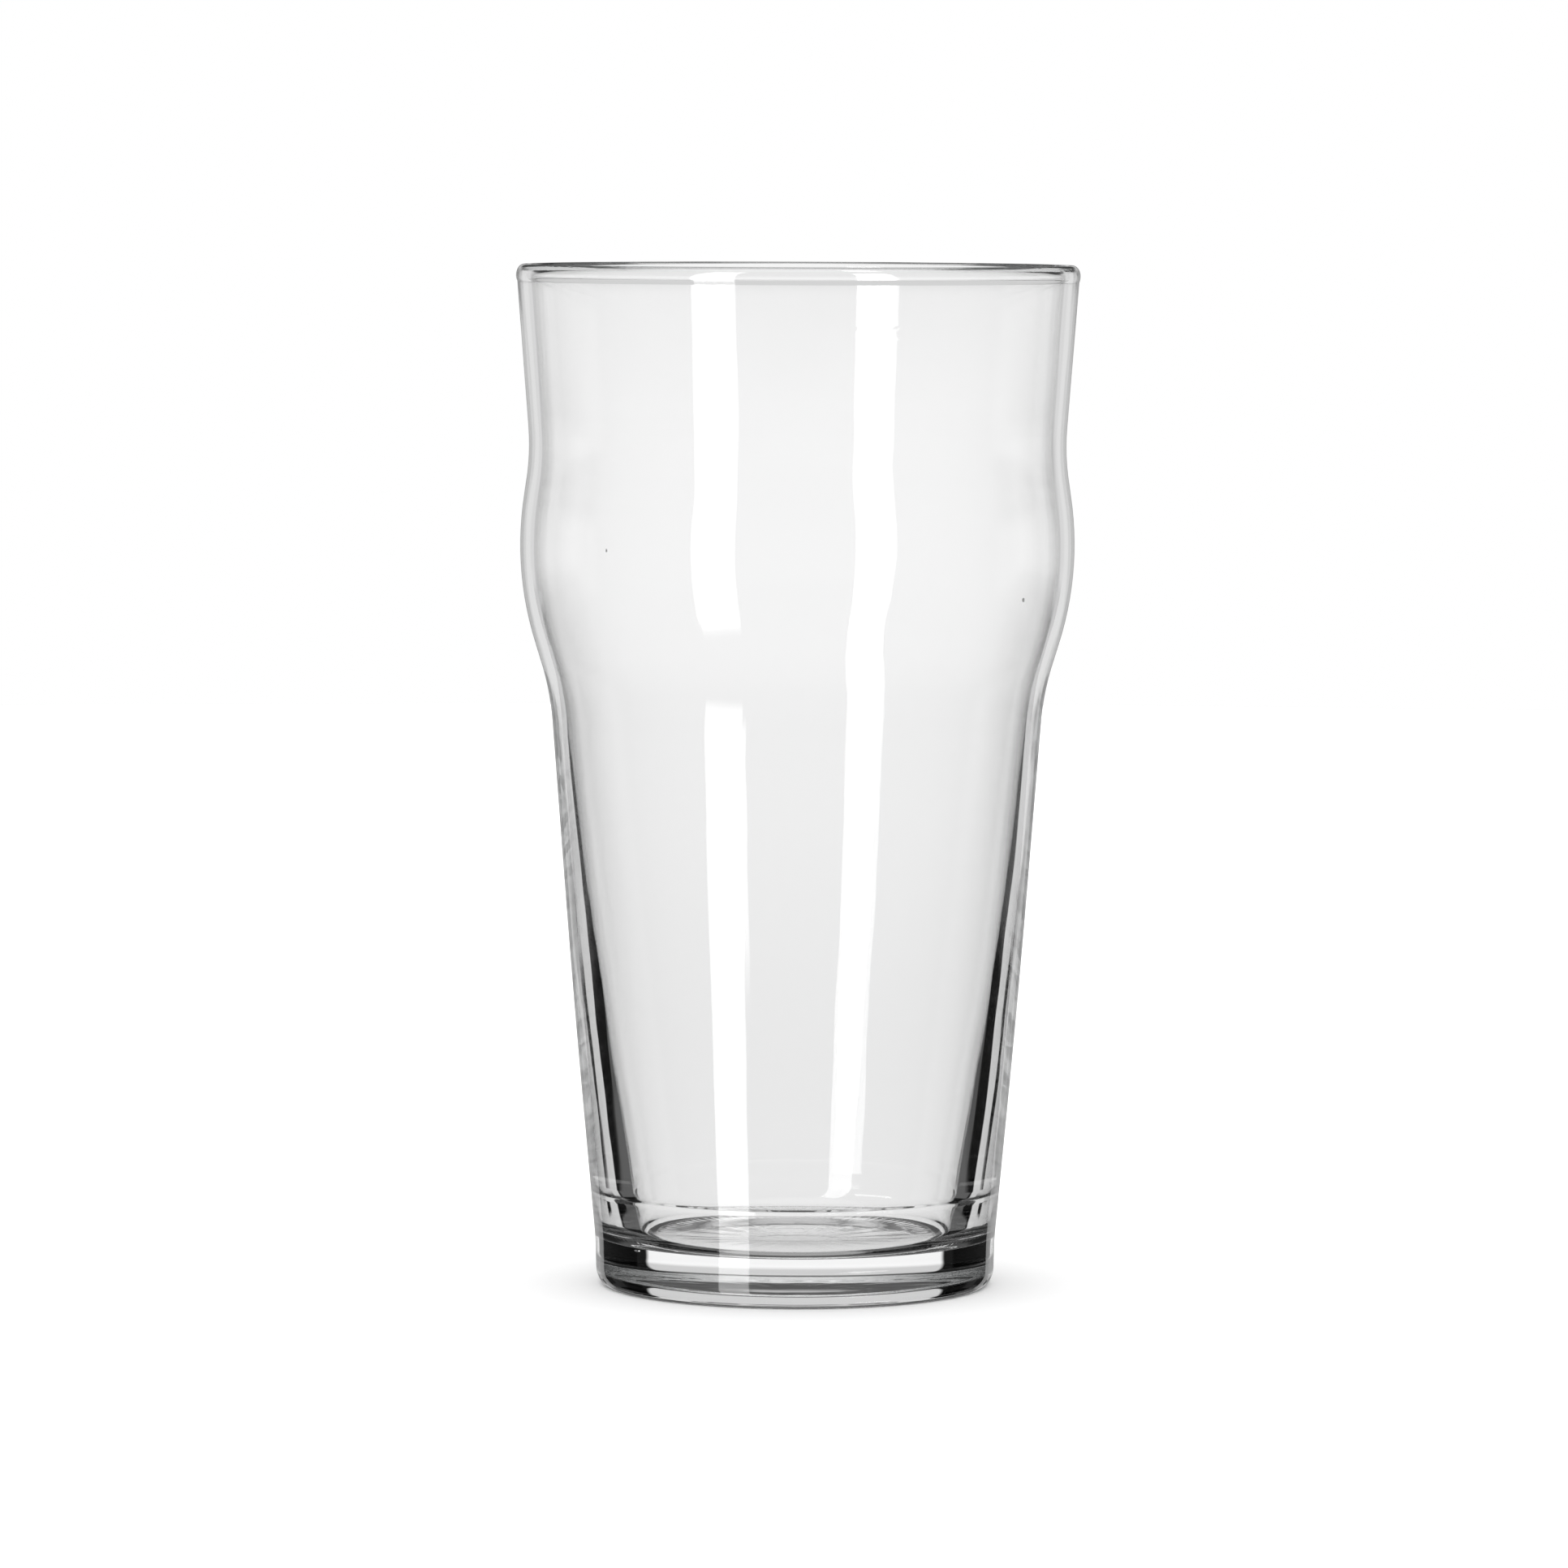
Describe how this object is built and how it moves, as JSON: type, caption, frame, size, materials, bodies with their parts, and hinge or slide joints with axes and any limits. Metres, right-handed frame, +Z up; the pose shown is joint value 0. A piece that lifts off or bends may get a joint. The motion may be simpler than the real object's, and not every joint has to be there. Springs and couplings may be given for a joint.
{
  "type": "pint glass",
  "caption": "Clear drinking glass that tapers down to a thick solid foot, with a bulge below the rim for grip and a fire-polished rim bead.",
  "frame": {"origin": "centre of the foot, on the plane the glass stands on", "axes": "+Z up the glass's own axis, from the foot to the rim; X and Y are alike, because the glass is a body of revolution"},
  "size_m": [0.082, 0.082, 0.149],
  "materials": {
    "clear_glass": "clear colourless soda-lime glass, fire-polished, smooth inside and out, stippled only on the ring it stands on"
  },
  "bodies": {
    "root": {"glass_body": "clear_glass"}
  },
  "joints": []
}
